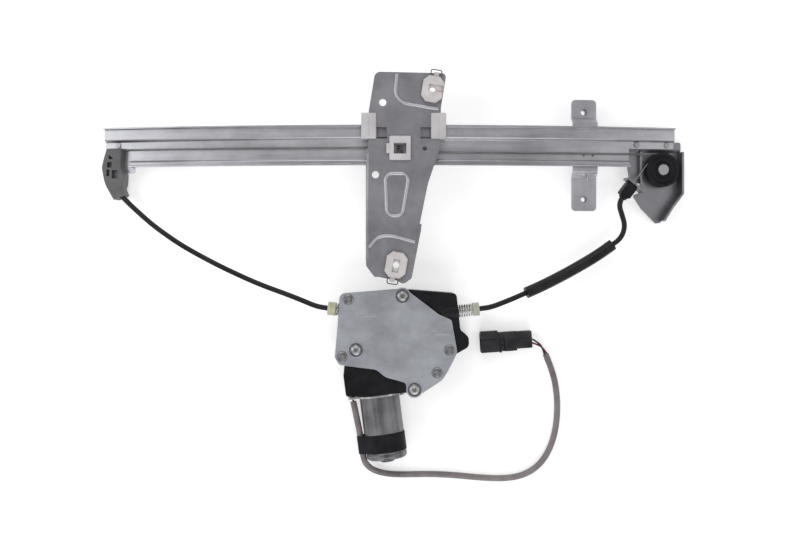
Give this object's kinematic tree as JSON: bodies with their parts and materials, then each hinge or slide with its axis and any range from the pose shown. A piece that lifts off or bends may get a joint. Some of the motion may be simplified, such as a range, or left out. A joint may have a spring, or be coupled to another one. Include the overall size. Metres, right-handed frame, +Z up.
{
  "type": "window regulator",
  "caption": "Cable window regulator: bowed steel guide rail, glass carrier on plastic shoes, cable drum drive with worm gear motor, end pulley, conduits and a plugged lead.",
  "frame": {"origin": "middle of the bounding box of the regulator without its lead, on the surface that it lies on", "axes": "+X along the guide rail towards the pulley end, +Y across the rail away from the motor, +Z up, the side that faces the glass"},
  "size_m": [0.5864, 0.4115, 0.0491],
  "materials": {
    "zinc_steel": "zinc plated pressed steel",
    "carrier_steel": "galvanised steel, duller",
    "cover_steel": "bright zinc plated steel",
    "bright_steel": "turned steel",
    "cable_steel": "stranded wire",
    "spring_steel": "wound spring wire",
    "black_plastic": "glass filled plastic",
    "conduit_plastic": "satin sheath",
    "grey_plastic": "moulded acetal",
    "white_plastic": "moulded acetal",
    "cream_plastic": "moulded nylon",
    "tape": "cloth tape",
    "lead_sheath": "soft grey sheath",
    "black_wire": "insulated wire",
    "red_wire": "insulated wire",
    "copper": "copper",
    "brass": "sintered bronze",
    "magnet": "ferrite",
    "carbon": "pressed carbon",
    "soft_rubber": "moulded rubber"
  },
  "bodies": {
    "root": {"bracket_rivets": "bright_steel", "brush_holder": "black_plastic", "brush_springs": "spring_steel", "brushes": "carbon", "cable_run_left": "cable_steel", "cable_run_right": "cable_steel", "conduit_sleeve": "black_plastic", "conduit_stop": "black_plastic", "connector_housing": "black_plastic", "connector_terminals": "brass", "cover_plate": "cover_steel", "cover_rivets": "zinc_steel", "cover_screws": "zinc_steel", "drum_housing": "black_plastic", "guide_rail": "zinc_steel", "housing_back": "black_plastic", "lead_port_wires": "red_wire", "lead_wire_black": "black_wire", "lead_wire_red": "red_wire", "left_cable_guide": "grey_plastic", "left_conduit": "conduit_plastic", "left_ferrule": "cream_plastic", "left_guide_rivet": "bright_steel", "left_inner_cable": "cable_steel", "left_tension_spring": "spring_steel", "motor_can": "zinc_steel", "motor_end_bush": "brass", "motor_flange": "zinc_steel", "motor_lead": "lead_sheath", "motor_magnets": "magnet", "pulley_pin": "bright_steel", "rail_mount_strap": "zinc_steel", "right_conduit": "conduit_plastic", "right_end_bracket": "zinc_steel", "right_ferrule": "cream_plastic", "right_inner_cable": "cable_steel", "right_tension_spring": "spring_steel", "strap_weld_nuts": "bright_steel", "tape_wrap": "tape"},
    "carrier": {"carrier_plate": "carrier_steel", "left_shoe": "white_plastic", "right_shoe": "white_plastic", "centre_slider": "white_plastic", "cable_nipples": "bright_steel", "upper_glass_clip": "white_plastic", "lower_glass_clip": "white_plastic", "upper_clip_loop": "bright_steel", "lower_clip_loop": "bright_steel"},
    "pulley": {"pulley": "black_plastic", "pulley_bush": "brass"},
    "drum": {"cable_drum": "white_plastic", "drum_cable_wraps": "cable_steel", "worm_wheel": "white_plastic", "damper": "soft_rubber", "output_shaft": "bright_steel"},
    "armature": {"worm": "bright_steel", "armature_shaft": "bright_steel", "armature_core": "zinc_steel", "armature_windings": "copper", "commutator": "copper"}
  },
  "joints": [
    {"name": "carrier_travel", "type": "hinge", "parent": "root", "child": "carrier", "pos_m": [-0.0025, 0.12126, -1.6696], "axis": [0, 1, 0], "range_deg": [-7.44, 6.16], "deforming": ["cable_run_left", "cable_run_right"]},
    {"name": "drum_spin", "type": "hinge", "parent": "root", "child": "drum", "pos_m": [0.0092, -0.06874, 0], "axis": [0, 0, 1], "range_deg": [-633.43, 524.52]},
    {"name": "armature_spin", "type": "hinge", "parent": "root", "child": "armature", "pos_m": [-0.02095, -0.07265, 0.0164], "axis": [-0.1288, 0.9917, 0], "range_deg": [-38006.1, 31471.11]},
    {"name": "pulley_spin", "type": "hinge", "parent": "root", "child": "pulley", "pos_m": [0.27108, 0.09906, 0.01128], "axis": [0.1606, 0, 0.987], "range_deg": [-676.8, 817.34]}
  ],
  "couplings": [
    {"joint": "drum_spin", "follows": "carrier_travel", "ratio": 85.15},
    {"joint": "armature_spin", "follows": "carrier_travel", "ratio": 5109},
    {"joint": "pulley_spin", "follows": "carrier_travel", "ratio": -109.87}
  ]
}
